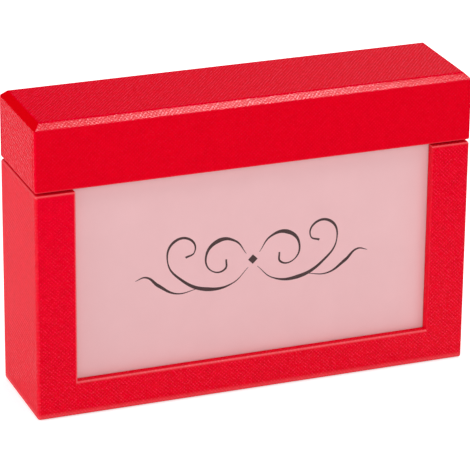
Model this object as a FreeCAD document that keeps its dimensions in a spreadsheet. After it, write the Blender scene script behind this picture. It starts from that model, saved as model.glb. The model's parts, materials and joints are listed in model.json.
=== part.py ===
# Photo storage box with a lift-off lid and a picture window in its front.
#
# A rigid box of grey board wrapped in embossed paper. An inner tray stands in the base, rises
# above it and guides the lid. The lid lands on the tray's rim, so a thin seam stays open between
# lid and base all round. The front wall is a U-shaped frame, and a picture card stands in the
# slot between that frame and the tray.
#
# Millimetres. The origin is the middle of the underside, +Z is up, and the window looks to -Y.

import FreeCAD, Part
import Sketcher
import math
import os

doc = FreeCAD.newDocument("photo_box")

# Driving dimensions

SIZES = (
    ("box_width", 170.0, "outside, left to right"),
    ("box_depth", 42.0, "outside, front to back"),
    ("box_height", 115.0, "outside, with the lid on"),
    ("lid_skirt", 26.0, "outside height of the lid"),
    ("seam", 1.0, "open gap between the lid and the base"),
    ("base_board", 3.0, "board of the base's walls"),
    ("floor_board", 3.0, "board of the base's floor"),
    ("lid_top", 2.5, "board of the lid's top"),
    ("lid_clearance", 0.5, "running room between the lid's skirt and the tray"),
    ("tray_board", 2.0, "board of the tray's walls"),
    ("tray_floor", 2.0, "board of the tray's floor"),
    ("cover_paper", 0.3, "embossed cover paper"),
    ("lining_paper", 0.3, "lining paper"),
    ("bottom_paper", 0.3, "sheet under the box"),
    ("board_round", 0.5, "rounding of the board's edges under the paper"),
    ("lid_bevel", 2.1, "bevel around the lid's top, under the paper"),
    ("stile_width", 15.4, "frame beside the window"),
    ("rail_height", 13.6, "frame under the window, from the underside"),
    ("card_thick", 0.4, "picture card"),
    ("card_gap", 0.25, "room before and behind the card in its slot"),
    ("card_side_gap", 5.4, "room beside the card in its slot"),
    ("card_headroom", 6.3, "room over the card, up to the lid's ceiling"),
    ("lid_turn_in", 12.0, "cover paper turned in under the lid's skirt"),
    ("rim_turn_in", 15.0, "cover paper turned in over the tray's rim"),
    ("turn_under", 15.0, "cover paper turned under the base"),
    ("sheet_inset", 2.0, "bottom sheet short of the box's outside"),
)

sheet = doc.addObject("Spreadsheet::Sheet", "sizes")
for row, (alias, value, note) in enumerate(SIZES, start=1):
    sheet.set("A%d" % row, alias)
    sheet.set("B%d" % row, "%g" % value)
    sheet.set("C%d" % row, note)
    sheet.setAlias("B%d" % row, alias)
doc.recompute()


def middle(half):
    """A stretch that reaches equally far to both sides, as a pair of expressions."""
    return "(-(%s))" % half, "(%s)" % half


def inset(area, step):
    """An area of two stretches, across and deep, drawn in on all four sides."""
    return tuple(("(%s + %s)" % (low, step), "(%s - %s)" % (high, step)) for low, high in area)


# Areas in plan, from the outside inwards

PAPER = "sizes.cover_paper"
LINING = "sizes.lining_paper"

OUTSIDE = (middle("sizes.box_width / 2"), middle("sizes.box_depth / 2"))
CORE = inset(OUTSIDE, PAPER)
BASE_BARE = inset(CORE, "sizes.base_board")
BASE_INSIDE = inset(BASE_BARE, PAPER)

SLOT = (BASE_INSIDE[1][0], "(%s + sizes.card_thick + 2 * sizes.card_gap)" % BASE_INSIDE[1][0])
TRAY_OUTSIDE = (BASE_INSIDE[0], (SLOT[1], BASE_INSIDE[1][1]))
TRAY_CORE = inset(TRAY_OUTSIDE, PAPER)
TRAY_BARE = inset(TRAY_CORE, "sizes.tray_board")
TRAY_LINED = inset(TRAY_BARE, LINING)

LID_INSIDE = inset(BASE_INSIDE, "-sizes.lid_clearance")
LID_BARE = inset(LID_INSIDE, "-" + PAPER)
LID_LINED = inset(LID_BARE, LINING)

# Levels, from the underside up

BASE_LOW = "sizes.bottom_paper"
CORE_LOW = "(%s + %s)" % (BASE_LOW, PAPER)
FLOOR_TOP = "(%s + sizes.floor_board)" % CORE_LOW
TRAY_FLOOR_TOP = "(%s + sizes.tray_floor)" % FLOOR_TOP
LID_LOW = "(sizes.box_height - sizes.lid_skirt)"
LID_CORE_LOW = "(%s + %s)" % (LID_LOW, PAPER)
LID_TURN_TOP = "(%s + sizes.lid_turn_in)" % LID_LOW
LID_CORE_TOP = "(sizes.box_height - %s)" % PAPER
LID_CEILING = "(%s - sizes.lid_top)" % LID_CORE_TOP
RIM = "(%s - %s)" % (LID_CEILING, LINING)
RIM_CORE = "(%s - %s)" % (RIM, PAPER)
RIM_TURN_LOW = "(%s - sizes.rim_turn_in)" % RIM
BASE_TOP = "(%s - sizes.seam)" % LID_LOW
BASE_CORE_TOP = "(%s - %s)" % (BASE_TOP, PAPER)

# The window at the surface of its paper, and the opening in the board behind it

WINDOW_HALF = "(sizes.box_width / 2 - sizes.stile_width)"
WINDOW = (middle(WINDOW_HALF), "sizes.rail_height")
BOARD_WINDOW = (middle("%s + %s" % (WINDOW_HALF, PAPER)), "(sizes.rail_height - %s)" % PAPER)

# Paper keeps its thickness around a rounded edge and around a 45 degree bevel

CORE_ROUND = "sizes.board_round"
SKIN_ROUND = "%s + %s" % (CORE_ROUND, PAPER)
CORE_BEVEL = "sizes.lid_bevel"
SKIN_BEVEL = "%s + %s * %.9f" % (CORE_BEVEL, PAPER, 2 - math.sqrt(2))

TOUCH = 1e-6


def plane(body, role):
    """One of the body's own origin planes."""
    return next(item for item in body.Origin.OriginFeatures if item.Role == role)


def rectangle(body, role, across, up, offset):
    """A fully constrained rectangle on one of the body's planes."""
    sketch = body.newObject("Sketcher::SketchObject", body.Name + "_outline")
    sketch.AttachmentSupport = [(plane(body, role), "")]
    sketch.MapMode = "FlatFace"
    sketch.setExpression("AttachmentOffset.Base.z", offset)
    corners = [FreeCAD.Vector(x, y, 0) for x, y in ((-1, -1), (1, -1), (1, 1), (-1, 1))]
    for i in range(4):
        sketch.addGeometry(Part.LineSegment(corners[i], corners[(i + 1) % 4]), False)
    for i in range(4):
        sketch.addConstraint(Sketcher.Constraint("Coincident", i, 2, (i + 1) % 4, 1))
    for i, direction in enumerate(("Horizontal", "Vertical", "Horizontal", "Vertical")):
        sketch.addConstraint(Sketcher.Constraint(direction, i))
    distances = (
        ("left", "DistanceX", 0, -1.0, across[0]),
        ("bottom", "DistanceY", 0, -1.0, up[0]),
        ("right", "DistanceX", 2, 1.0, across[1]),
        ("top", "DistanceY", 2, 1.0, up[1]),
    )
    for name, kind, line, start, expression in distances:
        number = sketch.addConstraint(Sketcher.Constraint(kind, -1, 1, line, 1, start))
        sketch.renameConstraint(number, name)
        sketch.setExpression("Constraints." + name, expression)
    return sketch


def pad(body, area, low, high):
    """Material between two levels."""
    feature = body.newObject("PartDesign::Pad", body.Name + "_pad")
    feature.Profile = rectangle(body, "XY_Plane", area[0], area[1], low)
    feature.setExpression("Length", "%s - %s" % (high, low))
    doc.recompute()


def check_cut(body, before):
    """A pocket that points away from the solid cuts nothing and shows no error."""
    if body.Shape.Volume >= before:
        raise RuntimeError("the last pocket of %s cuts nothing" % body.Name)


def hollow(body, area, low, high):
    """Take material away between two levels."""
    before = body.Shape.Volume
    feature = body.newObject("PartDesign::Pocket", body.Name + "_hollow")
    feature.Profile = rectangle(body, "XY_Plane", area[0], area[1], high)
    feature.setExpression("Length", "%s - %s" % (high, low))
    doc.recompute()
    check_cut(body, before)


def front_window(body, across, sill):
    """A window through the front of the body, open at the top."""
    before = body.Shape.Volume
    feature = body.newObject("PartDesign::Pocket", body.Name + "_window")
    feature.Profile = rectangle(body, "XZ_Plane", across, (sill, LID_LOW), "0")
    feature.Type = "ThroughAll"
    feature.Reversed = True
    doc.recompute()
    check_cut(body, before)


def half_way(edge):
    """The point in the middle of an edge."""
    return edge.valueAt((edge.FirstParameter + edge.LastParameter) / 2)


def box_faces(point, bound):
    """On how many sides of a bounding box a point lies."""
    sides = (
        (point.x, bound.XMin), (point.x, bound.XMax),
        (point.y, bound.YMin), (point.y, bound.YMax),
        (point.z, bound.ZMin), (point.z, bound.ZMax),
    )
    return sum(abs(value - side) < TOUCH for value, side in sides)


def every_edge(edge, bound):
    """All edges, on a block that isn't hollow yet."""
    return True


def top_edge(edge, bound):
    """The edges around the top face."""
    return abs(half_way(edge).z - bound.ZMax) < TOUCH


def outer_edge(edge, bound):
    """The block's own edges, and those that the window makes in its front and top faces."""
    faces = box_faces(half_way(edge), bound)
    at_front = any(abs(end.Point.y - bound.YMin) < TOUCH for end in edge.Vertexes)
    return faces >= 2 or (faces == 1 and at_front)


def raised_edge(edge, bound):
    """The block's upright edges and the ones around its top."""
    return box_faces(half_way(edge), bound) >= 2 and half_way(edge).z > bound.ZMin + TOUCH


def trim_edges(body, kind, name, size_name, size, chosen):
    """Round or bevel the edges that the given test chooses."""
    last = body.Tip
    bound = last.Shape.BoundBox
    names = [
        "Edge%d" % number
        for number, edge in enumerate(last.Shape.Edges, start=1)
        if chosen(edge, bound)
    ]
    feature = body.newObject(kind, body.Name + name)
    feature.Base = (last, names)
    feature.setExpression(size_name, size)
    doc.recompute()


def round_edges(body, radius, chosen):
    trim_edges(body, "PartDesign::Fillet", "_rounding", "Radius", radius, chosen)


def bevel_edges(body, size, chosen):
    trim_edges(body, "PartDesign::Chamfer", "_bevel", "Size", size, chosen)


def new_body(name):
    """A body whose label is its name."""
    body = doc.addObject("PartDesign::Body", name)
    body.Label = name
    return body


def block(name, area, low, high):
    """A plain block over an area in plan, between two levels."""
    piece = doc.addObject("Part::Box", name)
    stretches = (("Length", "x", area[0]), ("Width", "y", area[1]), ("Height", "z", (low, high)))
    for length, axis, (start, end) in stretches:
        piece.setExpression(length, "%s - %s" % (end, start))
        piece.setExpression("Placement.Base." + axis, start)
    piece.Label = name
    doc.recompute()
    return piece


def combine(kind, name, base, tool):
    """A boolean of two objects."""
    piece = doc.addObject(kind, name)
    piece.Base = base
    piece.Tool = tool
    piece.Label = name
    doc.recompute()
    return piece


def cut(name, base, tool):
    return combine("Part::Cut", name, base, tool)


def board(name, core, area, low, high):
    """The share of a core that lies over an area in plan, between two levels."""
    return combine("Part::Common", name, core, block(name + "_slab", area, low, high))


def wall_boards(names, core, outer, inner, low, high):
    """Front and back boards over the full width, and side boards between them."""
    areas = (
        (outer[0], (outer[1][0], inner[1][0])),
        (outer[0], (inner[1][1], outer[1][1])),
        ((outer[0][0], inner[0][0]), inner[1]),
        ((inner[0][1], outer[0][1]), inner[1]),
    )
    return [board(name, core, area, low, high) for name, area in zip(names, areas)]


# Base: a ring of wall boards with the window in the front one, and a floor board inside it

base_core = new_body("base_core")
pad(base_core, CORE, CORE_LOW, BASE_CORE_TOP)
hollow(base_core, BASE_BARE, CORE_LOW, BASE_CORE_TOP)
front_window(base_core, *BOARD_WINDOW)
round_edges(base_core, CORE_ROUND, outer_edge)

base_names = ("front_frame_board", "base_back_board", "base_left_board", "base_right_board")
base_boards = wall_boards(base_names, base_core, CORE, BASE_BARE, CORE_LOW, BASE_CORE_TOP)
base_floor_board = block("base_floor_board", BASE_BARE, CORE_LOW, FLOOR_TOP)

# Its cover paper runs up the outside, over the top edge, down the inside to the floor board and
# through the window, and is turned under the bottom

base_skin = new_body("base_skin")
pad(base_skin, OUTSIDE, BASE_LOW, BASE_TOP)
hollow(base_skin, BASE_INSIDE, FLOOR_TOP, BASE_TOP)
hollow(base_skin, BASE_BARE, CORE_LOW, FLOOR_TOP)
hollow(base_skin, inset(OUTSIDE, "sizes.turn_under"), BASE_LOW, CORE_LOW)
front_window(base_skin, *WINDOW)
round_edges(base_skin, SKIN_ROUND, outer_edge)
base_cover_paper = cut("base_cover_paper", base_skin, base_core)

# The bottom sheet covers the turned edges and sinks in to the floor board between them

base_bottom_sheet = new_body("base_bottom_sheet")
pad(base_bottom_sheet, inset(OUTSIDE, "sizes.sheet_inset"), "0", BASE_LOW)
pad(base_bottom_sheet, inset(OUTSIDE, "sizes.turn_under"), BASE_LOW, CORE_LOW)

# Tray: glued to the base's sides and back, with the card's slot in front of it

tray_core = new_body("tray_core")
pad(tray_core, TRAY_CORE, FLOOR_TOP, RIM_CORE)
round_edges(tray_core, CORE_ROUND, raised_edge)
hollow(tray_core, TRAY_BARE, FLOOR_TOP, RIM_CORE)

tray_names = ("tray_front_board", "tray_back_board", "tray_left_board", "tray_right_board")
tray_boards = wall_boards(tray_names, tray_core, TRAY_CORE, TRAY_BARE, FLOOR_TOP, RIM_CORE)
tray_floor_board = block("tray_floor_board", TRAY_BARE, FLOOR_TOP, TRAY_FLOOR_TOP)

tray_skin = new_body("tray_skin")
pad(tray_skin, TRAY_OUTSIDE, FLOOR_TOP, RIM)
round_edges(tray_skin, SKIN_ROUND, raised_edge)
hollow(tray_skin, inset(TRAY_BARE, PAPER), RIM_TURN_LOW, RIM)
hollow(tray_skin, TRAY_BARE, FLOOR_TOP, RIM_TURN_LOW)
tray_cover_paper = cut("tray_cover_paper", tray_skin, tray_core)

tray_lining = cut(
    "tray_lining",
    block("tray_lining_outside", TRAY_BARE, TRAY_FLOOR_TOP, RIM_TURN_LOW),
    block("tray_lining_inside", TRAY_LINED, TRAY_FLOOR_TOP, RIM_TURN_LOW),
)
tray_floor_sheet = block(
    "tray_floor_sheet", TRAY_LINED, TRAY_FLOOR_TOP, "(%s + %s)" % (TRAY_FLOOR_TOP, LINING)
)

# Picture card: stands on the floor board in the slot behind the frame

CARD_AREA = (inset(BASE_INSIDE, "sizes.card_side_gap")[0], inset((SLOT,), "sizes.card_gap")[0])
picture_card = block("picture_card", CARD_AREA, FLOOR_TOP, "(%s - sizes.card_headroom)" % RIM)

# Lid: skirt boards under a full top board, with one bevel around the top

lid_core = new_body("lid_core")
pad(lid_core, CORE, LID_CORE_LOW, LID_CORE_TOP)
bevel_edges(lid_core, CORE_BEVEL, top_edge)
round_edges(lid_core, CORE_ROUND, every_edge)
hollow(lid_core, LID_BARE, LID_CORE_LOW, LID_CEILING)

lid_names = ("lid_front_board", "lid_back_board", "lid_left_board", "lid_right_board")
lid_boards = wall_boards(lid_names, lid_core, CORE, LID_BARE, LID_CORE_LOW, LID_CEILING)
lid_top_board = board("lid_top_board", lid_core, CORE, LID_CEILING, LID_CORE_TOP)

lid_skin = new_body("lid_skin")
pad(lid_skin, OUTSIDE, LID_LOW, "sizes.box_height")
bevel_edges(lid_skin, SKIN_BEVEL, top_edge)
round_edges(lid_skin, SKIN_ROUND, every_edge)
hollow(lid_skin, LID_BARE, LID_TURN_TOP, LID_CEILING)
hollow(lid_skin, LID_INSIDE, LID_LOW, LID_TURN_TOP)
lid_cover_paper = cut("lid_cover_paper", lid_skin, lid_core)

lid_lining = cut(
    "lid_lining",
    block("lid_lining_outside", LID_BARE, LID_TURN_TOP, RIM),
    block("lid_lining_inside", LID_LINED, LID_TURN_TOP, RIM),
)
lid_top_lining = block("lid_top_lining", LID_BARE, RIM, LID_CEILING)

# Check every object, then write each piece

PIECES = base_boards + [base_floor_board, base_cover_paper, base_bottom_sheet]
PIECES += tray_boards + [tray_floor_board, tray_cover_paper, tray_lining, tray_floor_sheet]
PIECES += [picture_card]
PIECES += lid_boards + [lid_top_board, lid_cover_paper, lid_lining, lid_top_lining]

doc.recompute()
for item in doc.Objects:
    if "Invalid" in item.State or "Error" in item.State:
        raise RuntimeError("%s failed: %s" % (item.Label, item.State))
for piece in PIECES:
    shape = piece.Shape
    if shape.isNull() or not shape.isValid() or len(shape.Solids) != 1:
        raise RuntimeError("%s isn't one valid solid" % piece.Label)

os.makedirs("parts", exist_ok=True)
for piece in PIECES:
    piece.Shape.exportStep("parts/%s.step" % piece.Label)
    bound = piece.Shape.BoundBox
    print("%-20s %7.2f cm3  %6.1f x %5.1f x %5.1f  from z %6.2f" % (
        piece.Label, piece.Shape.Volume / 1000,
        bound.XLength, bound.YLength, bound.ZLength, bound.ZMin))
print("%d pieces" % len(PIECES))
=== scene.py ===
# %% [markdown]
# # A paper-covered photo box
#
# The box is a rigid one: grey board, wrapped in red embossed paper. A separate lid sits over an
# inner tray, and a picture card shows through a window in the front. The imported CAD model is
# loaded first. It fixes every size and place, so this script only dresses it: the boards stay as
# they are, and the papers that wrap them are modelled again as real folded sheets.

# %% Load the frame
import json
import math

import bmesh
import bpy
from mathutils import Matrix, Vector


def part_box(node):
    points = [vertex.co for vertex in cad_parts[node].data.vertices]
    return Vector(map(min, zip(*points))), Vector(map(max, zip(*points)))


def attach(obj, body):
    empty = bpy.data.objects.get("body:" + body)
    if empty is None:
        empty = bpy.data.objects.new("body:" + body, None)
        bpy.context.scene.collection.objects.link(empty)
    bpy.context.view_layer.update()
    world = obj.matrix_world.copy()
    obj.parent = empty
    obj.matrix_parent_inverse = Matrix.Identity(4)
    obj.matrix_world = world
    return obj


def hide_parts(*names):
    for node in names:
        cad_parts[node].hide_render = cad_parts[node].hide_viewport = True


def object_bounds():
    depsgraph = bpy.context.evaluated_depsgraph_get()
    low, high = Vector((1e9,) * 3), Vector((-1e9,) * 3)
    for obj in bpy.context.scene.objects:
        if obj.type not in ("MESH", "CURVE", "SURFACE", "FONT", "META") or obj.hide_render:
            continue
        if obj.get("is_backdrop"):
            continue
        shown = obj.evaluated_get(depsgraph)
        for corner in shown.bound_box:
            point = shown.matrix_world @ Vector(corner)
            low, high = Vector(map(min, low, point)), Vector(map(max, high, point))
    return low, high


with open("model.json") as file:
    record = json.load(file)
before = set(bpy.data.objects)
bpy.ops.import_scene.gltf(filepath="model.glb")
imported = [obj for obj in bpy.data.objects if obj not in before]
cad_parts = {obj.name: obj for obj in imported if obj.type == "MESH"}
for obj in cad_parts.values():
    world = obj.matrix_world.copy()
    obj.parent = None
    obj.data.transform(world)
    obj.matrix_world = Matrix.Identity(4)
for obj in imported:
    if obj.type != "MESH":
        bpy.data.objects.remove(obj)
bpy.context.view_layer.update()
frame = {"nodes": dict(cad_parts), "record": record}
MM = 0.001
TINY = 0.01 * MM

# %% [markdown]
# ## The camera
#
# The photograph looks from the front left, a little above, with a long lens. A camera could be
# turned by hand until the picture looks right. Here its place comes from a fit of the box's edges
# to the edges in the picture, because that also finds the lens. The three rows say which way the
# image's right, down and forward point in the frame.

# %% Camera
CAMERA_PLACE = (-0.393587, -1.014662, 0.493990)
right = Vector((0.933785, -0.357715, 0.009260))
down = Vector((-0.126049, -0.353040, -0.927078))
forward = Vector((0.334899, 0.864525, -0.374753))

camera_data = bpy.data.cameras.new("camera")
camera_data.sensor_width = 36
camera_data.lens = 240.45
camera_data.clip_end = 50
camera = bpy.data.objects.new("camera", camera_data)
bpy.context.scene.collection.objects.link(camera)
camera.matrix_world = Matrix.Translation(CAMERA_PLACE) @ Matrix(
    (right, -down, -forward)).transposed().to_4x4()
bpy.context.scene.camera = camera

# %% [markdown]
# ## Hands for modelling
#
# An operator acts on whatever is selected, and a new cube is selected all over. These helpers
# clear the selection, start a block at its size and place, and select faces or edges by where
# they are, so that each piece below reads like a list of steps done by hand.


# %% Helpers for selecting
def only(piece):
    """Select one object and make it the active one."""
    bpy.ops.object.select_all(action="DESELECT")
    piece.select_set(True)
    bpy.context.view_layer.objects.active = piece


def block(name, low, high):
    """A cube stretched from its lowest to its highest corner, its place kept in its mesh."""
    bpy.ops.object.select_all(action="DESELECT")
    low, high = Vector(low), Vector(high)
    bpy.ops.mesh.primitive_cube_add(size=1, location=(low + high) / 2, scale=high - low)
    piece = bpy.context.object
    piece.name = piece.data.name = name
    bpy.ops.object.transform_apply(location=True, rotation=True, scale=True)
    return piece


def edit(piece):
    """Open a piece in edit mode with nothing selected."""
    only(piece)
    bpy.ops.object.mode_set(mode="EDIT")
    bpy.ops.mesh.select_all(action="DESELECT")


def close():
    bpy.ops.object.mode_set(mode="OBJECT")


def pick(kind, test):
    """In edit mode, select the edges or faces that pass a test of their middle and themselves."""
    bpy.ops.mesh.select_mode(type=kind)
    bpy.ops.mesh.select_all(action="DESELECT")
    mesh = bmesh.from_edit_mesh(bpy.context.object.data)
    found = 0
    for part in (mesh.edges if kind == "EDGE" else mesh.faces):
        middle = sum((v.co for v in part.verts), Vector()) / len(part.verts)
        if not part.hide and test(middle, part):
            part.select_set(True)
            found += 1
    bmesh.update_edit_mesh(bpy.context.object.data)
    return found


# %% [markdown]
# Most tests ask the same few things: which way an edge runs, and whether a place is on the
# outside of a box that stands around the origin. With names of their own they read like words.


# %% Helpers for finding places
def direction(edge):
    """The way an edge runs, as a unit vector without a sign."""
    run = (edge.verts[1].co - edge.verts[0].co).normalized()
    return Vector(map(abs, run))


def upright(edge):
    return direction(edge).z > 0.9


def lying(edge):
    return direction(edge).z < 0.1


def along_wall(edge):
    """Does this edge run flat along a wall, not across a mitre?"""
    return max(direction(edge).x, direction(edge).y) > 0.99


def outside(at, high):
    """Is this on the outside of the walls?"""
    return abs(at.x) > high.x - TINY or abs(at.y) > high.y - TINY


def at_corner(at, high):
    """Is this where two outer walls meet?"""
    return abs(at.x) > high.x - TINY and abs(at.y) > high.y - TINY


# %% Helpers for shaping
SMOOTH_ANGLE = math.radians(32)


def delete_faces(test):
    pick("FACE", test)
    bpy.ops.mesh.delete(type="FACE")


def cut(test, place, normal):
    """Cut the faces that pass a test along a plane."""
    pick("FACE", test)
    bpy.ops.mesh.bisect(plane_co=place, plane_no=normal)


def extrude(step=(0, 0, 0)):
    bpy.ops.mesh.extrude_region_move(TRANSFORM_OT_translate={"value": step})


def squeeze(factors, centre):
    """Scale the selection about a point."""
    bpy.ops.transform.resize(value=factors, center_override=centre)


def face_outwards():
    """Turn every face of the open piece outwards."""
    bpy.ops.mesh.select_all(action="SELECT")
    bpy.ops.mesh.normals_make_consistent(inside=False)


def soften(weights):
    """Mark edges for rounding. Each entry is a share of the full rounding and a test."""
    for weight, test in weights:
        if pick("EDGE", test):
            bpy.ops.transform.edge_bevelweight(value=weight)


def modifier(piece, kind, **settings):
    """Add a modifier, set it and apply it at once."""
    only(piece)
    bpy.ops.object.modifier_add(type=kind)
    added = piece.modifiers[-1]
    for key, value in settings.items():
        setattr(added, key, value)
    bpy.ops.object.modifier_apply(modifier=added.name)


def smooth(piece):
    """Shade the folds round and leave the faces between them flat."""
    only(piece)
    bpy.ops.object.shade_smooth_by_angle(angle=SMOOTH_ANGLE)
    modifier(piece, "WEIGHTED_NORMAL", keep_sharp=True)
    print(piece.name, len(piece.data.polygons), "faces")


def fold_and_thicken(piece, rounding, paper):
    """Round the marked folds, then give the sheet its paper's thickness behind its surface."""
    modifier(piece, "BEVEL", width=rounding, segments=4, limit_method="WEIGHT",
             use_clamp_overlap=True, miter_outer="MITER_SHARP")
    modifier(piece, "SOLIDIFY", thickness=paper, offset=-1, use_even_offset=True)
    smooth(piece)


def dull_cut_edges(piece, width, degrees):
    """Take the sharpness off the edges that a knife left, where they turn by an angle."""
    modifier(piece, "BEVEL", width=width, segments=2, limit_method="ANGLE",
             angle_limit=math.radians(degrees))
    smooth(piece)


# %% [markdown]
# ## A map for the paper
#
# The embossed grid is pressed into the flat sheet before it is folded, so it runs around the
# edges without stretching. A pattern that follows each point's place in the room would smear
# where a wall turns, so a UV map in metres follows the sheet instead. Each face is laid flat along
# the two directions it spans, and on the slanted bevel the height is stretched back to its true
# length. Over the lid's top the photograph shows the lines further apart from front to back, so
# the map is drawn together there. The base's paper lies the other way round from the lid's: its
# stronger lines run down to the right, the lid's up to the right.

# %% Lay the sheet's map
TOP_STRETCH = 0.79
LEVEL = 0.85
SLANTED = 0.5


def lay_map(piece, way=1):
    """A UV map named sheet, in metres along the paper. A way of -1 turns the paper over."""
    mesh = bmesh.new()
    mesh.from_mesh(piece.data)
    layer = mesh.loops.layers.uv.new("sheet")
    for face in mesh.faces:
        facing = Vector(map(abs, face.normal))
        slant = math.sqrt(2) if facing.z > SLANTED else 1
        for loop in face.loops:
            x, y, z = loop.vert.co
            if facing.z > LEVEL:
                loop[layer].uv = (way * x, y * TOP_STRETCH)
            else:
                loop[layer].uv = (way * (x if facing.y > facing.x else y), z * slant)
    mesh.to_mesh(piece.data)
    mesh.free()


# %% [markdown]
# One paper looks different from place to place. Some folds and the base's foot are paler, with
# painted highlights and a painted floor reflection, and on the tray and the bottom sheet with
# wear. The lid's side bevels get a painted shade, and its long faces a deeper tone. The lacquer is
# polished more in some places, and the grid's press is deeper in some, with stronger painted light
# and shade on its crests and lines. A material for each place would show its border, so three
# attributes keep these values at each corner of a face: one for wear and painted light, which is
# below 0 for the painted shade and the deeper tone, one for the polish, and one for the press and
# its painted relief shade. A rule gives the value from the corner's place, the face's middle and
# direction, and how far the surface has turned away from the flat walls, which is 0 on a wall and
# 1 in the middle of a fold.

# %% Mark the paper
FULL_TURN = 0.2


def mark(piece, **rules):
    """Write each attribute into a piece, from a rule or from one plain value."""
    mesh = piece.data
    for name, rule in rules.items():
        values = mesh.attributes.new(name, "FLOAT", "CORNER").data
        for face in mesh.polygons:
            for loop in face.loop_indices:
                straight = max(map(abs, mesh.corner_normals[loop].vector))
                turned = min(1, (1 - straight) / FULL_TURN)
                at = mesh.vertices[mesh.loops[loop].vertex_index].co
                values[loop].value = (rule(at, face.center, face.normal, turned)
                                      if callable(rule) else rule)


# %% [markdown]
# ## Finishes
#
# Each material is built from nodes by small functions, which take a node's type, its plain values
# and its links. Pictures of paper could be used instead, but nodes stay sharp from close by and
# keep their real measure on every piece. Effects that several papers share are node groups with
# named sockets: the pressed grid, and the soft fibres that every paper has.


# %% Helpers for nodes
def plug(tree, target, *links):
    """Link each named input to a socket, or give it a plain value."""
    for name, source in links:
        if isinstance(source, bpy.types.NodeSocket):
            tree.links.new(source, target.inputs[name])
        else:
            target.inputs[name].default_value = source
    return target


def node(tree, kind, *links, **values):
    """Add a node. Links are (input, output socket) pairs, and values set its own fields."""
    made = tree.nodes.new(kind)
    for key, value in values.items():
        setattr(made, key, value)
    return plug(tree, made, *links)


def maths(tree, operation, first, second=None, third=None):
    """A Math node's result."""
    links = [(i, v) for i, v in enumerate((first, second, third)) if v is not None]
    return node(tree, "ShaderNodeMath", *links, operation=operation).outputs[0]


def blend_colour(tree, share, first, second):
    """Two colours mixed by a share."""
    mixed = node(tree, "ShaderNodeMix", (0, share), (6, first), (7, second), data_type="RGBA")
    return mixed.outputs[2]


def spread(tree, value, *limits, **values):
    """A value mapped from one range to another."""
    return node(tree, "ShaderNodeMapRange", ("Value", value), *limits, **values).outputs[0]


def raised(tree, height, strength, depth):
    """The normal of a surface with fine relief on it."""
    return node(tree, "ShaderNodeBump", ("Height", height), ("Strength", strength),
                ("Distance", depth)).outputs[0]


def new_group(name, inputs, outputs):
    """An empty node group with named sockets, and its inner ends."""
    tree = bpy.data.node_groups.new(name, "ShaderNodeTree")
    for label, kind, value in inputs:
        socket = tree.interface.new_socket(label, in_out="INPUT", socket_type=kind)
        if value is not None:
            socket.default_value = value
    for label in outputs:
        tree.interface.new_socket(label, in_out="OUTPUT", socket_type="NodeSocketFloat")
    return tree, tree.nodes.new("NodeGroupInput"), tree.nodes.new("NodeGroupOutput")


def use_group(tree, group, *links):
    made = tree.nodes.new("ShaderNodeGroup")
    made.node_tree = group
    return plug(tree, made, *links)


def new_material(name):
    """A material with one Principled shader, and its node tree."""
    material = bpy.data.materials.new(name)
    material.use_nodes = True
    tree = material.node_tree
    print("material", name)
    return material, tree, tree.nodes["Principled BSDF"]


# %% [markdown]
# The pressed grid: two families of fine lines cross at 45 degrees to the box's edges, and leave a
# small diamond between them. The photograph shows 0.69 diamonds to the millimetre over the front.
# There are thousands of them, too many to model, so they are relief in the material. Each family
# is a cosine of the sheet's two directions added or subtracted. Slow noise shifts the weight from
# one family to the other, bends the lines and changes how deep the press went, because a perfect
# grid looks printed. The group puts out the height, the crests of the diamonds, and a glint that
# lies on the crests but is stronger on some than on others.

# %% Group: pressed grid
BEND_SCALE = 300.0
WEAVE_SCALE = 260.0
DEPTH_SCALE = 800.0
GLINT_SCALE = 1000.0

pressed_grid, grid_in, grid_out = new_group(
    "pressed_grid",
    (("Vector", "NodeSocketVector", None), ("Diamonds per mm", "NodeSocketFloat", 0.69),
     ("Waver in mm", "NodeSocketFloat", 0.7)),
    ("Height", "Crest", "Glint"))


def cloud(scale):
    """Cloudy noise on the sheet."""
    return node(pressed_grid, "ShaderNodeTexNoise", ("Vector", grid_in.outputs["Vector"]),
                ("Scale", scale), ("Detail", 2.0))


def cloud_between(scale, low, high):
    """Cloudy noise, spread over a range."""
    return spread(pressed_grid, cloud(scale).outputs["Fac"], ("From Min", 0.3),
                  ("From Max", 0.7), ("To Min", low), ("To Max", high))


bend = node(pressed_grid, "ShaderNodeVectorMath", (0, cloud(BEND_SCALE).outputs["Color"]),
            (1, (0.5, 0.5, 0.5)), operation="SUBTRACT")
bend_mm = node(pressed_grid, "ShaderNodeVectorMath", (0, bend.outputs[0]),
               ("Scale", maths(pressed_grid, "MULTIPLY", grid_in.outputs["Waver in mm"], MM)),
               operation="SCALE")
bent = node(pressed_grid, "ShaderNodeVectorMath", (0, grid_in.outputs["Vector"]),
            (1, bend_mm.outputs[0]), operation="ADD")
along = node(pressed_grid, "ShaderNodeSeparateXYZ", ("Vector", bent.outputs[0]))
turns = maths(pressed_grid, "MULTIPLY", grid_in.outputs["Diamonds per mm"], 2 * math.pi / MM)
lines = [maths(pressed_grid, "COSINE", maths(pressed_grid, "MULTIPLY", turns, maths(
    pressed_grid, way, along.outputs[0], along.outputs[1]))) for way in ("ADD", "SUBTRACT")]
weave = node(pressed_grid, "ShaderNodeMix", ("Factor", cloud_between(WEAVE_SCALE, 0.34, 0.76)),
             (2, lines[0]), (3, lines[1]))
even_height = maths(pressed_grid, "MULTIPLY_ADD", weave.outputs[0], 0.5, 0.5)
grid_height = maths(pressed_grid, "MULTIPLY", even_height, cloud_between(DEPTH_SCALE, 0.5, 1.05))
grid_crest = spread(pressed_grid, grid_height, ("From Min", 0.38), ("From Max", 0.85),
                    interpolation_type="SMOOTHSTEP")
grid_glint = maths(pressed_grid, "MULTIPLY", grid_crest, cloud_between(GLINT_SCALE, 0.75, 1.2))
plug(pressed_grid, grid_out, ("Height", grid_height), ("Crest", grid_crest),
     ("Glint", grid_glint))
print("pressed grid:", len(pressed_grid.nodes), "nodes")

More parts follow.
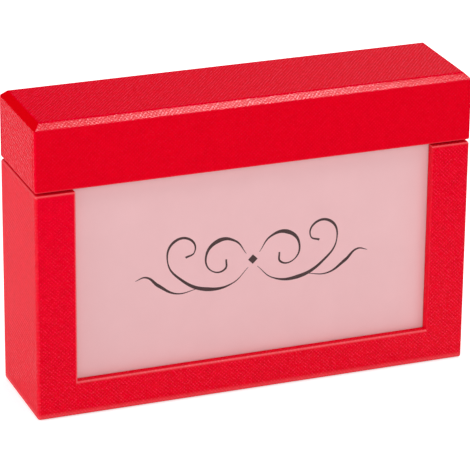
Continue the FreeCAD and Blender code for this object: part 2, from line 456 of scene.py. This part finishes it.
# %% [markdown]
# Paper fibres: a cloudy tone a few millimetres wide, and a tooth finer than the eye can part,
# which only takes the edge off reflections. Both are noise of one kind at two scales.

# %% Group: paper fibres
paper_fibres, fibres_in, fibres_out = new_group(
    "paper_fibres",
    (("Vector", "NodeSocketVector", None), ("Cloud scale", "NodeSocketFloat", 400.0),
     ("Tooth scale", "NodeSocketFloat", 2600.0)),
    ("Cloud", "Tooth"))
for label in ("Cloud", "Tooth"):
    fibre = node(paper_fibres, "ShaderNodeTexNoise", ("Vector", fibres_in.outputs["Vector"]),
                 ("Scale", fibres_in.outputs[label + " scale"]), ("Detail", 4.0),
                 ("Roughness", 0.6))
    plug(paper_fibres, fibres_out, (label, spread(
        paper_fibres, fibre.outputs["Fac"], ("From Min", 0.25), ("From Max", 0.75))))
print("paper fibres:", len(paper_fibres.nodes), "nodes")


def fibre_material(name, cloud_scale, dark, pale):
    """A material whose tone drifts between two colours with the fibres' cloud."""
    material, tree, shader = new_material(name)
    solid = node(tree, "ShaderNodeTexCoord").outputs["Object"]
    fibres = use_group(tree, paper_fibres, ("Vector", solid), ("Cloud scale", cloud_scale))
    tone = blend_colour(tree, fibres.outputs["Cloud"], dark, pale)
    return material, tree, shader, fibres, tone


# %% [markdown]
# ### Red embossed paper
#
# A cover paper with a strong red dye and a thin lacquer. The grid is bumped, and one plain red
# with a bump would look like plastic, so the grid's light and shade are also painted into the
# colour: paler on the crests and deeper in the lines, further apart where the press is deeper.
# Some folds and the base's foot are paler pink with painted highlights and a painted floor
# reflection, and the tray's folds and the bottom sheet with wear. The lid's side bevels get a
# painted shade in deep red, and its long faces a deeper tone. The lacquer lies mostly on the
# crests. It is almost matt on the front, and polished on the short sides, on the lid's top and
# along its long bevels, which is why those sparkle.

# %% Material: red embossed paper
DYE_DARK = (0.695, 0.0002, 0.0105, 1)
DYE_BRIGHT = (0.825, 0.0003, 0.0140, 1)
# Paler red for painted light on the grid's crests; the darker dye in the lines is painted shade.
CREST_PAINTED_LIGHT_RED = (0.96, 0.0025, 0.0480, 1)
# Pale pink for painted highlights on folds and a painted floor reflection at the base's foot, and
# for wear on the tray and bottom sheet.
HIGHLIGHT_AND_WEAR_PINK = (0.98, 0.20, 0.22, 1)
# Deep red for painted shade on the lid's side bevels, and a deeper tone on its long faces.
SHADE_AND_DEEP_RED = (0.66, 0.0003, 0.0004, 1)
CREST_SHARE = 0.2
LACQUER_ON_CRESTS = 0.5
LACQUER_BETWEEN = 0.11
TOOTH_SHARE = 0.05
PRESS_DEPTH = 0.2 * MM

red_paper, tree, shader, fibres, dye = fibre_material(
    "red_embossed_paper", 400.0, DYE_DARK, DYE_BRIGHT)
flat = node(tree, "ShaderNodeUVMap", uv_map="sheet").outputs[0]
grid = use_group(tree, pressed_grid, ("Vector", flat))
rubbed, polished, pressed = (
    node(tree, "ShaderNodeAttribute", attribute_name=name).outputs["Fac"]
    for name in ("rubbed", "polished", "pressed"))
# Painted relief light and shade: crests paler, lines deeper, spread further by a deeper press.
above = maths(tree, "SUBTRACT", grid.outputs["Crest"], CREST_SHARE)
crest_painted_light = maths(tree, "MULTIPLY_ADD", above, pressed, CREST_SHARE)
dye_and_painted_relief = blend_colour(tree, crest_painted_light, dye, CREST_PAINTED_LIGHT_RED)
# Folds turn paler with painted highlights and wear, by the first attribute.
highlit_and_worn = blend_colour(tree, rubbed, dye_and_painted_relief, HIGHLIGHT_AND_WEAR_PINK)
# Below 0 the same attribute deepens the red: painted shade on the side bevels, a deeper tone on
# the lid's long faces.
shade_and_deepen = maths(tree, "MULTIPLY", rubbed, -1.0)
lacquer = maths(tree, "MULTIPLY_ADD", grid.outputs["Glint"], LACQUER_ON_CRESTS, LACQUER_BETWEEN)
relief = maths(tree, "MULTIPLY", pressed, maths(
    tree, "MULTIPLY_ADD", fibres.outputs["Tooth"], TOOTH_SHARE, grid.outputs["Height"]))
plug(tree, shader,
     ("Base Color", blend_colour(tree, shade_and_deepen, highlit_and_worn, SHADE_AND_DEEP_RED)),
     ("Roughness", spread(tree, grid.outputs["Crest"], ("To Min", 0.42), ("To Max", 0.30))),
     ("Specular IOR Level", 0.0),
     ("Coat Weight", maths(tree, "MULTIPLY", lacquer, polished)),
     ("Coat Roughness", 0.16),
     ("Coat IOR", 1.8),
     ("Normal", raised(tree, relief, 1.0, PRESS_DEPTH)))

# %% [markdown]
# ### Lining paper, grey board, card and ink
#
# The lining is a plain off-white sheet with a faint cloud. Grey board is pressed waste paper, so
# it has darker flecks in a soft grey. The card is smooth printing board in pale pink, and its ink
# is a dark brown. All four are the same fibres at other scales and colours, so they share one
# function, and only the board gets its flecks, from cells that are cut off near their middles.

# %% Material: lining paper
lining_paper, tree, shader, fibres, tone = fibre_material(
    "lining_paper", 160.0, (0.76, 0.72, 0.64, 1), (0.82, 0.79, 0.72, 1))
tooth = fibres.outputs["Tooth"]
plug(tree, shader,
     ("Base Color", tone),
     ("Roughness", spread(tree, tooth, ("To Min", 0.75), ("To Max", 0.9))),
     ("Specular IOR Level", 0.25),
     ("Normal", raised(tree, tooth, 0.6, 0.02 * MM)))

# %% Material: grey board
FLECK_GREY = (0.12, 0.11, 0.10, 1)

grey_board, tree, shader, fibres, tone = fibre_material(
    "grey_board", 420.0, (0.25, 0.235, 0.21, 1), (0.34, 0.32, 0.29, 1))
solid = node(tree, "ShaderNodeTexCoord").outputs["Object"]
fleck = node(tree, "ShaderNodeTexVoronoi", ("Vector", solid), ("Scale", 900.0))
spot = spread(tree, fleck.outputs["Distance"], ("From Min", 0.12), ("From Max", 0.2),
              ("To Min", 0.5), ("To Max", 0.0))
plug(tree, shader,
     ("Base Color", blend_colour(tree, spot, tone, FLECK_GREY)),
     ("Roughness", 0.9),
     ("Normal", raised(tree, fibres.outputs["Tooth"], 1.0, 0.04 * MM)))

# %% Material: pink card and its ink
pink_card, tree, shader, fibres, tone = fibre_material(
    "pink_card", 60.0, (0.785, 0.470, 0.488, 1), (0.815, 0.495, 0.513, 1))
plug(tree, shader,
     ("Base Color", tone),
     ("Roughness", 0.6),
     ("Specular IOR Level", 0.3),
     ("Normal", raised(tree, fibres.outputs["Tooth"], 0.4, 0.01 * MM)))

brown_ink, tree, shader, fibres, tone = fibre_material(
    "brown_ink", 500.0, (0.040, 0.018, 0.018, 1), (0.062, 0.030, 0.030, 1))
plug(tree, shader, ("Base Color", tone), ("Roughness", 0.5), ("Specular IOR Level", 0.3))

# %% [markdown]
# Every CAD board keeps its own shape and gets the grey board's finish. The CAD papers get theirs
# too, though a folded sheet takes the place of each one below.

# %% Dress the CAD nodes
FINISHES = {"grey_board": grey_board, "cover_paper": red_paper, "lining_paper": lining_paper,
            "picture_card": pink_card}


def paint(piece, material):
    piece.data.materials.clear()
    piece.data.materials.append(material)


for part in frame["record"]["subparts"]:
    paint(frame["nodes"][part["node"]], FINISHES[part["material_slot"]])
print(len(frame["nodes"]), "CAD nodes painted")


def hand_over(piece, material, body, slot, *nodes):
    """Give a finished piece its material, hang it on its body, and hide the CAD nodes it replaces.
    """
    paint(piece, material)
    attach(piece, body)
    if nodes:
        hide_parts(*nodes)


# %% [markdown]
# Where one end of a paper lies over the other, the step shows as a fine groove that runs straight
# down the wall. A dark line in the material would show it from the front only, and a real groove
# catches the light from each side. Three cuts across the wall give it two rims and a bottom, two
# more stop it short of the folds, and the bottom is pushed in.

# %% Helper for a seam
GROOVE_HALF = 0.35 * MM
GROOVE_DEEP = 0.25 * MM


def press_seam(wall, along, place, ends, inwards):
    """Press a seam into the wall whose faces pass a test, along an axis, between two heights."""
    across = Vector(along)
    for offset in (-GROOVE_HALF, 0, GROOVE_HALF):
        cut(wall, across * (place + offset), across)
    for end in ends:
        cut(wall, (0, 0, end), (0, 0, 1))
    pick("EDGE", lambda at, e: abs(at.dot(across) - place) < TINY and upright(e)
         and ends[0] < at.z < ends[1] and wall(at, e.link_faces[0]))
    bpy.ops.transform.translate(value=Vector(inwards) * GROOVE_DEEP)


# %% [markdown]
# ## The base's cover paper
#
# One sheet of red paper goes up the outside of the base, over the top edge and down the inside.
# It also runs through the window, so the window's cut edges are red, and it is turned under the
# bottom. It could be cut from a thick block, as in the CAD model, but a sheet that is folded and
# then given its thickness gets round folds and a paper of one thickness all over. It starts as a
# block. The top is opened, the underside is inset to leave the turned edge, and the window is cut
# out of the front. Then the open rim is extruded inwards and down, which folds the sheet over the
# board's edge.

# %% Base cover: block, openings and window
low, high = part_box("base_cover_paper")
PAPER = 0.3 * MM
WALL = 3.6 * MM
SILL = 13.6 * MM
WINDOW_HALF = 69.6 * MM
TURN_UNDER = 15 * MM
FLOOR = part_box("base_floor_board")[1].z

base_cover = block("base_cover", low, high)
edit(base_cover)
delete_faces(lambda at, face: at.z > high.z - TINY)
pick("FACE", lambda at, face: at.z < low.z + TINY)
bpy.ops.mesh.inset(thickness=TURN_UNDER, depth=0)
bpy.ops.mesh.delete(type="FACE")


def on_front(at, face):
    return at.y < low.y + TINY


cut(on_front, (-WINDOW_HALF, 0, 0), (1, 0, 0))
cut(on_front, (WINDOW_HALF, 0, 0), (1, 0, 0))
cut(on_front, (0, 0, SILL), (0, 0, 1))
delete_faces(lambda at, face: on_front(at, face) and abs(at.x) < WINDOW_HALF and at.z > SILL)
print("window", round(2 * WINDOW_HALF / MM, 1), "mm wide")

# %% Base cover: fold the rim in and down
ABOVE_BOTTOM = 1 * MM


def rim(at, edge):
    """The open edge around the top and the window."""
    return edge.is_boundary and at.z > ABOVE_BOTTOM


def draw_in(piece, wall):
    """Move a freshly extruded rim inwards: its corners both ways, its window ends only back."""
    mesh = bmesh.from_edit_mesh(piece.data)
    for vert in mesh.verts:
        if vert.select:
            if abs(vert.co.x) > WINDOW_HALF + TINY:
                vert.co.x -= math.copysign(wall, vert.co.x)
            vert.co.y -= math.copysign(wall, vert.co.y)
    bmesh.update_edit_mesh(piece.data)


pick("EDGE", rim)
extrude()
draw_in(base_cover, WALL)
pick("EDGE", lambda at, edge: rim(at, edge) and at.z > high.z - TINY)
extrude((0, 0, SILL - high.z))
bpy.ops.mesh.select_all(action="SELECT")
bpy.ops.mesh.remove_doubles(threshold=TINY)
pick("EDGE", rim)
extrude((0, 0, FLOOR - SILL))
face_outwards()
print("rim folded", round((high.z - FLOOR) / MM, 1), "mm down")

# %% Base cover: the seam on the back
SEAM_IN = 12 * MM
SEAM_ENDS = (low.z + 3 * MM, high.z - 2 * MM)
press_seam(lambda at, face: face.normal.y > 0.99 and at.y > high.y - TINY, (1, 0, 0),
           low.x + SEAM_IN, SEAM_ENDS, (0, -1, 0))
print("seam", round(SEAM_IN / MM, 1), "mm from the corner")

# %% [markdown]
# Paper can't fold sharply over board. The base's four uprights are the roundest, the other edges
# get a share of their rounding, and the inner corners almost none. One more cut above the bottom
# gives the foot's painted floor reflection its border.

# %% Base cover: round the folds
UPRIGHT_ROUND = 1.4 * MM
FOOT = low.z + 2.4 * MM
cut(lambda at, face: abs(face.normal.z) < 0.1 and outside(at, high), (0, 0, FOOT), (0, 0, 1))


def window_edge(at, y):
    """Is this on the window's outline, at a depth?"""
    return abs(at.y - y) < TINY and at.z > SILL - TINY and (
        abs(abs(at.x) - WINDOW_HALF) < TINY
        or (abs(at.z - SILL) < TINY and abs(at.x) < WINDOW_HALF))


def top_edge(at, e):
    return abs(at.z - high.z) < TINY and along_wall(e)


soften((
    (0.2, lambda at, e: upright(e) and not outside(at, high)
        and abs(at.x) > WINDOW_HALF + TINY),
    (1.0, lambda at, e: upright(e) and at_corner(at, high)),
    (0.5, lambda at, e: abs(at.z - low.z) < TINY and outside(at, high)),
    (0.6, lambda at, e: top_edge(at, e) and outside(at, high)),
    (0.35, lambda at, e: top_edge(at, e) and not outside(at, high)),
    (0.65, lambda at, e: window_edge(at, low.y)),
    (0.35, lambda at, e: window_edge(at, low.y + WALL)),
))
close()
fold_and_thicken(base_cover, UPRIGHT_ROUND, PAPER)
lay_map(base_cover, -1)

# %% Base cover: painted highlights, sheen and press
NEAR = 1.2 * MM
# Painted highlights on the window's edges, sill and top edge, and a painted floor reflection along
# the foot.
SILL_HIGHLIGHT = 0.55
SILL_SPREAD = 1.8
FOOT_FLOOR_REFLECTION = 0.28
TOP_EDGE_HIGHLIGHT = 0.5
SIDE_SHEEN = 0.85
OTHER_SHEEN = 0.4
FRONT_SHEEN = 0.07
SHEEN_TO_THE_RIGHT = 0.15
SHEEN_ON_THE_RAIL = 0.26
# The press values set the grid's bump and its painted relief light and shade.
LEFT_SIDE_PRESS = 0.6
LEFT_STILE_PRESS = 0.4
BASE_PRESS = 1.0


def base_rubbed(at, middle, facing, turned):
    """Painted highlights: most on the window's left edge, then its sill, a painted floor
    reflection along the bottom, and the top edge.
    """
    in_front = middle.y < low.y + NEAR
    if in_front and middle.z > SILL + NEAR and abs(middle.x + WINDOW_HALF) < NEAR:
        return turned
    if in_front and abs(middle.z - SILL) < NEAR and abs(middle.x) < WINDOW_HALF:
        return SILL_HIGHLIGHT * min(1, SILL_SPREAD * turned)
    if at.z < FOOT - TINY and facing.z > -0.5:
        return FOOT_FLOOR_REFLECTION
    return TOP_EDGE_HIGHLIGHT * turned if middle.z > high.z - NEAR else 0.0


def base_polished(at, middle, facing, turned):
    """The front's sheen grows from the left stile to the right and down to the rail."""
    if facing.y > -0.9:
        return SIDE_SHEEN if abs(facing.x) > 0.5 else OTHER_SHEEN
    on_rail = at.z < SILL + TINY
    return FRONT_SHEEN + SHEEN_TO_THE_RIGHT * (at.x > 0) + SHEEN_ON_THE_RAIL * on_rail


def base_pressed(at, middle, facing, turned):
    """The grid and its painted relief light are shallow on the left side, and fade to the left
    above the rail.
    """
    if facing.x < -0.5:
        return LEFT_SIDE_PRESS
    return LEFT_STILE_PRESS if at.x < 0 and at.z > SILL + TINY else BASE_PRESS


mark(base_cover, rubbed=base_rubbed, polished=base_polished, pressed=base_pressed)
hand_over(base_cover, red_paper, "base", "cover_paper", "base_cover_paper")

# %% [markdown]
# ## The lid's cover paper
#
# The lid is wrapped the same way, but its top board has a cut bevel all round, which catches the
# light. The block's top edges are bevelled flat, the underside is opened, and the rim is folded
# in and up inside the skirt. The long sides wrap 2.3 mm around each corner, under the flap of the
# short side, so a fine groove runs down the short sides where the flap ends. A slightly wider
# bevel would suit the photograph better, but then the board shows through at the mitres.

# %% Lid cover: block, bevel and skirt
BEVEL = 2.5 * MM
WRAP = 2.3 * MM

low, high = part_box("lid_cover_paper")
inner_low, inner_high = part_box("lid_lining")
turn_in = inner_low.z - low.z
lid_cover = block("lid_cover", low, high)
edit(lid_cover)
pick("EDGE", lambda at, e: at.z > high.z - TINY)
bpy.ops.mesh.bevel(offset=BEVEL, offset_type="OFFSET", segments=1, affect="EDGES")
delete_faces(lambda at, face: at.z < low.z + TINY)
pick("EDGE", lambda at, e: e.is_boundary)
extrude()
squeeze(((inner_high.x - PAPER) / high.x, (inner_high.y - PAPER) / high.y, 1), (0, 0, low.z))
extrude((0, 0, turn_in))
face_outwards()
print("lid skirt turned in by", round(turn_in / MM, 1), "mm")

# %% Lid cover: seams and folds
LID_ROUND = 1.2 * MM
seam_ends = (low.z + WRAP, high.z - BEVEL - WRAP / 2)
for side in (-1, 1):
    for end in (-1, 1):
        press_seam(lambda at, face: face.normal.x * side > 0.99 and at.x * side > high.x - TINY,
                   (0, 1, 0), end * (high.y - WRAP), seam_ends, (-side, 0, 0))


def lower_edge(at):
    return at.z < low.z + TINY


soften((
    (0.85, lambda at, e: upright(e) and at_corner(at, high)),
    (0.25, lambda at, e: upright(e) and abs(at.x) < high.x - TINY),
    (0.15, lambda at, e: not upright(e) and not lying(e)),
    (0.4, lambda at, e: lying(e) and at.z > high.z - BEVEL - TINY),
    (0.6, lambda at, e: lying(e) and lower_edge(at) and outside(at, high)),
    (0.4, lambda at, e: along_wall(e) and lower_edge(at) and not outside(at, high)),
))
close()
fold_and_thicken(lid_cover, LID_ROUND, PAPER)
lay_map(lid_cover)

# %% Lid cover: painted shade, sheen and press
LONG_BEVEL_SHEEN = 1.1
TOP_SHEEN = 0.85
TOP_SHEEN_TO_THE_RIGHT = 0.45
FACE_SHEEN = 0.05
# Below 0: painted shade on the side bevels and a deeper tone on the long faces. The lower edge is
# a little paler.
SIDE_BEVEL_PAINTED_SHADE = -0.8
FACE_DEEPER_TONE = -0.35
LOWER_EDGE_PALER = 0.2
# The press values set the grid's bump and its painted relief light and shade.
TOP_PRESS = 1.75
BEVEL_PRESS = 0.65
BEVEL_END_PRESS = 0.2
LEFT_PRESS = 1.2
RIGHT_PRESS = 1.0
FACE_PRESS = 0.5


def near_top(middle):
    return middle.z > high.z - BEVEL - TINY


def near_end(middle):
    """Is this face at the short end of the lid, near its mitres?"""
    return abs(middle.x) > high.x - 2 * BEVEL


def lid_rubbed(at, middle, facing, turned):
    """The lower edge is a little paler. The side bevels get a painted shade, and the long faces a
    deeper tone.
    """
    if near_top(middle):
        return SIDE_BEVEL_PAINTED_SHADE if abs(facing.x) > 0.4 else 0.0
    if middle.z < low.z + NEAR:
        return LOWER_EDGE_PALER * turned
    return FACE_DEEPER_TONE if abs(facing.y) > 0.9 else 0.0


def lid_polished(at, middle, facing, turned):
    """The long bevels shine evenly. The top's sheen grows to the right, past that of all else."""
    if near_top(middle):
        if near_end(middle):
            return 0.0
        if abs(facing.y) > 0.5:
            return LONG_BEVEL_SHEEN
        if abs(facing.y) < 0.1:
            return TOP_SHEEN + TOP_SHEEN_TO_THE_RIGHT * at.x / high.x
        return 0.0
    return SIDE_SHEEN if abs(facing.x) > 0.9 else FACE_SHEEN


def lid_pressed(at, middle, facing, turned):
    """The grid and its painted relief light are deepest on the top and the short sides."""
    if near_top(middle):
        if facing.z > 0.9:
            return TOP_PRESS
        return BEVEL_END_PRESS if near_end(middle) else BEVEL_PRESS
    if abs(facing.x) > 0.9:
        return LEFT_PRESS if facing.x < 0 else RIGHT_PRESS
    return FACE_PRESS


mark(lid_cover, rubbed=lid_rubbed, polished=lid_polished, pressed=lid_pressed)
hand_over(lid_cover, red_paper, "lid", "cover_paper", "lid_cover_paper")

# %% [markdown]
# ## The tray's cover paper
#
# The tray stands inside the base and rises under the lid. Its red paper goes up the outside and
# over the rim, and ends a little way down the inside. A plain wall with a red rim would do while
# the lid is on, but with the lid off the paper's edge shows, so it is folded like the others.

# %% Tray cover
TRAY_ROUND = 0.9 * MM

low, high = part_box("tray_cover_paper")
bare_low, bare_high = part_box("tray_lining")

tray_cover = block("tray_cover", low, high)
edit(tray_cover)
delete_faces(lambda at, face: face.normal.z ** 2 > 0.9)
pick("EDGE", lambda at, e: e.is_boundary and at.z > high.z - TINY)
extrude()
across = (bare_high.x - PAPER) / high.x
deep = (bare_high.y - bare_low.y - 2 * PAPER) / (high.y - low.y)
squeeze((across, deep, 1), (0, (low.y + high.y) / 2, high.z))
extrude((0, 0, bare_high.z - high.z))
face_outwards()
soften((
    (1.0, lambda at, e: upright(e) and abs(at.x) > high.x - TINY),
    (0.3, lambda at, e: upright(e) and abs(at.x) < high.x - TINY),
    (0.8, lambda at, e: along_wall(e) and at.z > high.z - TINY),
))
close()
fold_and_thicken(tray_cover, TRAY_ROUND, PAPER)
lay_map(tray_cover)
mark(tray_cover, rubbed=lambda at, middle, facing, turned: 0.3 * turned, polished=0.3,
     pressed=0.8)
hand_over(tray_cover, red_paper, "base", "cover_paper", "tray_cover_paper")

# %% [markdown]
# ## Linings
#
# A lining is a band of thin paper glued around the inside of a wall. It could be four flat strips,
# but one band can't follow a sharp inside corner, so each corner is a small round. The band is a
# block without its top and bottom, turned inside out, and its thickness grows outwards to the
# board.

# %% Wall linings
LINING_ROUND = 0.25 * MM


def wall_lining(name, source, body):
    """A band of lining paper around the inside of a wall."""
    low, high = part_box(source)
    gap = Vector((PAPER, PAPER, 0))
    band = block(name, low + gap, high - gap)
    edit(band)
    delete_faces(lambda at, face: face.normal.z ** 2 > 0.9)
    bpy.ops.mesh.select_all(action="SELECT")
    bpy.ops.mesh.flip_normals()
    soften(((1.0, lambda at, e: upright(e)),))
    close()
    fold_and_thicken(band, LINING_ROUND, PAPER)
    hand_over(band, lining_paper, body, "lining_paper", source)


wall_lining("tray_wall_lining", "tray_lining", "base")
wall_lining("lid_wall_lining", "lid_lining", "lid")

# %% [markdown]
# The flat sheets lie on the tray's floor and under the lid's top. A bare block would look like a
# slab. Glue pulls such a sheet flat, but for a narrow border that stays a little proud, so the
# face is inset twice, the second time with a step, and the cut edges are softened.

# %% Flat sheets
BORDER = 3 * MM
STEP_WIDE = 0.12 * MM
STEP_DEEP = 0.06 * MM
SHEET_EDGE = 0.08 * MM


def flat_face(side):
    """A test for faces that look up (side 1) or down (side -1)."""
    return lambda at, face: face.normal.z * side > 0.9


def finish_sheet(sheet, material, body, slot, source):
    close()
    dull_cut_edges(sheet, SHEET_EDGE, 40)
    lay_map(sheet)
    hand_over(sheet, material, body, slot, source)


def flat_sheet(name, source, body, side):
    """A lining sheet seen from above (side 1) or from below (side -1)."""
    sheet = block(name, *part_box(source))
    edit(sheet)
    pick("FACE", flat_face(side))
    bpy.ops.mesh.inset(thickness=BORDER, depth=0)
    bpy.ops.mesh.inset(thickness=STEP_WIDE, depth=-STEP_DEEP)
    finish_sheet(sheet, lining_paper, body, "lining_paper", source)


flat_sheet("tray_floor_lining", "tray_floor_sheet", "base", 1)
flat_sheet("lid_ceiling_lining", "lid_top_lining", "lid", -1)

# %% [markdown]
# The bottom sheet covers the cover paper's turned edges, in the same red paper. It sinks between
# them, so its middle is pushed up by nearly a paper's thickness. Both of its faces are inset and
# moved, because a sheet that dips keeps its thickness.

# %% Bottom sheet
SINK_IN = 12 * MM
SINK_SLOPE = 1 * MM
SINK = 0.27 * MM

sheet_low, sheet_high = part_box("base_bottom_sheet")
bottom_sheet = block("bottom_sheet", sheet_low, (sheet_high.x, sheet_high.y, PAPER))
edit(bottom_sheet)
for side in (1, -1):
    pick("FACE", flat_face(side))
    bpy.ops.mesh.inset(thickness=SINK_IN, depth=0)
    bpy.ops.mesh.inset(thickness=SINK_SLOPE, depth=side * SINK)
finish_sheet(bottom_sheet, red_paper, "base", "cover_paper", "base_bottom_sheet")
mark(bottom_sheet, rubbed=0.15, polished=0.3, pressed=0.8)

# %% [markdown]
# ## The picture card
#
# A stiff card stands in the slot behind the window. It could stay the CAD model's plain block,
# but drawn out of its slot it shows that a cutter rounded its corners and left its edges a touch
# soft.

# %% Card
CARD_CORNER = 1.5 * MM
CARD_EDGE = 0.06 * MM

low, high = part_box("picture_card")
card = block("card", low, high)
edit(card)
pick("EDGE", lambda at, e: direction(e).y > 0.9)
bpy.ops.mesh.bevel(offset=CARD_CORNER, segments=5, affect="EDGES")
close()
dull_cut_edges(card, CARD_EDGE, 60)
hand_over(card, pink_card, "card", "picture_card", "picture_card")

# %% [markdown]
# The print on the card is a plain pen flourish, two mirrored scrolls with a small diamond between
# them. It could be a picture on the card, but strokes of real ink stay sharp from close by. Each
# stroke is a curve whose round section swells and thins like a pen's line. It is made a mesh and
# pressed almost flat onto the card. A stroke's points are x and z in millimetres from the middle,
# with the width of the line there.

# %% Flourish: one stroke
PEN_RADIUS = 0.5 * MM
INK_THICK = 0.03 * MM
INK_MIDDLE = Vector((0, low.y, 51 * MM))
STROKES = (
    ((1.8, -3.0, 0.2), (8, -8.5, 0.5), (18, -9.5, 1.6), (28, -4.5, 1.0), (33.5, 3.5, 0.5),
     (31, 11, 1.1), (24.5, 11, 0.9), (23, 6, 0.5), (26.5, 4.2, 0.9)),
    ((2.6, 2.6, 0.2), (7, 8.2, 0.8), (13.5, 9.2, 1.7), (18.5, 3.5, 0.8), (16, -2.6, 0.5),
     (11, -2.4, 0.8), (10.5, 1.4, 0.7)),
    ((21.5, -8.7, 0.2), (30, -9.6, 0.6), (37, -5.5, 1.3), (42, -1.5, 0.7), (46, -2.4, 0.2)),
)


def pen_stroke(points, side):
    """One stroke of the pen, as a closed mesh with a round section."""
    bpy.ops.object.select_all(action="DESELECT")
    bpy.ops.curve.primitive_bezier_curve_add(location=(0, 0, 0))
    stroke = bpy.context.object
    stroke.name = "stroke"
    curve = stroke.data
    curve.splines.clear()
    line = curve.splines.new("BEZIER")
    line.bezier_points.add(len(points) - 1)
    for spot, (x, z, width) in zip(line.bezier_points, points):
        spot.co = (side * x * MM, 0, z * MM)
        spot.radius = width
        spot.handle_left_type = spot.handle_right_type = "AUTO"
    curve.resolution_u = 16
    curve.bevel_depth = PEN_RADIUS
    curve.bevel_resolution = 2
    curve.use_fill_caps = True
    bpy.ops.object.convert(target="MESH")
    return stroke


# %% Flourish: join the strokes and press them flat
DIAMOND_RADIUS = 1.9 * MM
DIAMOND_THICK = 0.8 * MM

strokes = [pen_stroke(points, side) for side in (1, -1) for points in STROKES]
bpy.ops.object.select_all(action="DESELECT")
bpy.ops.mesh.primitive_cylinder_add(vertices=4, radius=DIAMOND_RADIUS, depth=DIAMOND_THICK,
                                    location=(0, 0, 0), rotation=(math.radians(90), 0, 0))
strokes.append(bpy.context.object)
only(strokes[-1])
for stroke in strokes:
    stroke.select_set(True)
bpy.ops.object.join()
flourish = bpy.context.object
flourish.name = flourish.data.name = "card_flourish"
flourish.data.transform(flourish.matrix_world)
flourish.matrix_world = Matrix.Identity(4)
edit(flourish)
bpy.ops.mesh.select_all(action="SELECT")
squeeze((1, INK_THICK / (2 * PEN_RADIUS), 1), (0, 0, 0))
bpy.ops.transform.translate(value=INK_MIDDLE)
bpy.ops.mesh.remove_doubles(threshold=0.001 * MM)
bpy.ops.mesh.normals_make_consistent(inside=False)
close()
only(flourish)
bpy.ops.object.shade_smooth_by_angle(angle=math.radians(40))
hand_over(flourish, brown_ink, "card", "picture_card")
print("flourish", len(flourish.data.polygons), "faces")

# %% [markdown]
# ## Floor, light and world
#
# The photograph is a cut-out on white in very even light. A white floor runs out of sight. It
# could be lit until it is white, but then the box would be too bright, so the floor glows a
# little instead, only where the camera or a mirror looks at it, and keeps the box's shadow.

# %% Floor
FLOOR_DROP = 0.1 * MM
FLOOR_WHITE = (0.88, 0.88, 0.88, 1)
GLOW_SEEN = 0.45
GLOW_MORE_TO_CAMERA = 0.09

bpy.ops.object.select_all(action="DESELECT")
bpy.ops.mesh.primitive_plane_add(size=24, location=(0, 0, -FLOOR_DROP))
bpy.ops.object.transform_apply(location=True)
floor = bpy.context.object
floor.name = "floor"
floor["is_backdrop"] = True
white_floor, tree, shader = new_material("white_floor")
path = node(tree, "ShaderNodeLightPath")
to_camera = path.outputs["Is Camera Ray"]
in_mirror = maths(tree, "MAXIMUM", path.outputs["Is Glossy Ray"],
                  path.outputs["Is Transmission Ray"])
seen = maths(tree, "MAXIMUM", to_camera, in_mirror)
glow = maths(tree, "MULTIPLY_ADD", to_camera, GLOW_MORE_TO_CAMERA,
             maths(tree, "MULTIPLY", seen, GLOW_SEEN))
plug(tree, shader, ("Base Color", FLOOR_WHITE), ("Roughness", 0.9),
     ("Specular IOR Level", 0.1), ("Emission Color", (1, 1, 1, 1)),
     ("Emission Strength", glow))
paint(floor, white_floor)

# %% [markdown]
# A plain grey world fills the rest, as a studio's unlit walls do: the lid's top and its side bevel
# mirror them and stay a deep red, and the side bevel's deeper shade is also painted into its
# colour, while the short side mirrors the white floor. A picture of a studio could do this too,
# but a few lamps are easier to move. A small weak one stands where the front bevel mirrors it. Two
# wide ones, from the left and the front, fill the walls, and one behind to the right brings out
# the grid on the lid's top.

# %% World
WORLD_LIGHT = 0.42

world = bpy.data.worlds.new("world")
bpy.context.scene.world = world
world.use_nodes = True
plug(world.node_tree, world.node_tree.nodes["Background"], ("Color", (1, 1, 1, 1)),
     ("Strength", WORLD_LIGHT))
print("world light", WORLD_LIGHT)

# %% Lamps
AIM = Vector((0, 0, 0.06))


def lamp(name, way, away, size, share):
    """A square soft lamp some way off, which adds a share of white."""
    data = bpy.data.lights.new(name, "AREA")
    data.shape = "SQUARE"
    data.size = size
    data.energy = share * (math.pi * away) ** 2
    made = bpy.data.objects.new(name, data)
    bpy.context.scene.collection.objects.link(made)
    made.location = AIM + Vector(way).normalized() * away
    made.rotation_euler = Vector(way).to_track_quat("Z", "Y").to_euler()
    print(name, "lamp", round(data.energy, 2), "W")


lamp("bevel", (0.335, -0.375, 0.865), 1.5, 0.31, 0.15)
lamp("left", (-0.94, 0.00, 0.34), 1.6, 1.0, 0.41)
lamp("front", (-0.20, -0.90, 0.38), 1.8, 1.0, 0.345)
lamp("behind", (0.60, 0.50, 0.62), 1.6, 0.8, 0.37)
bpy.context.scene.view_settings.view_transform = "Standard"

# %% [markdown]
# ## The model's size
#
# The dressed model must keep the CAD's size, so its box is printed.

# %% Sizes and finish
low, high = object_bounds()
print("visual box, mm:", [round(v / MM, 2) for v in (*low, *high)])
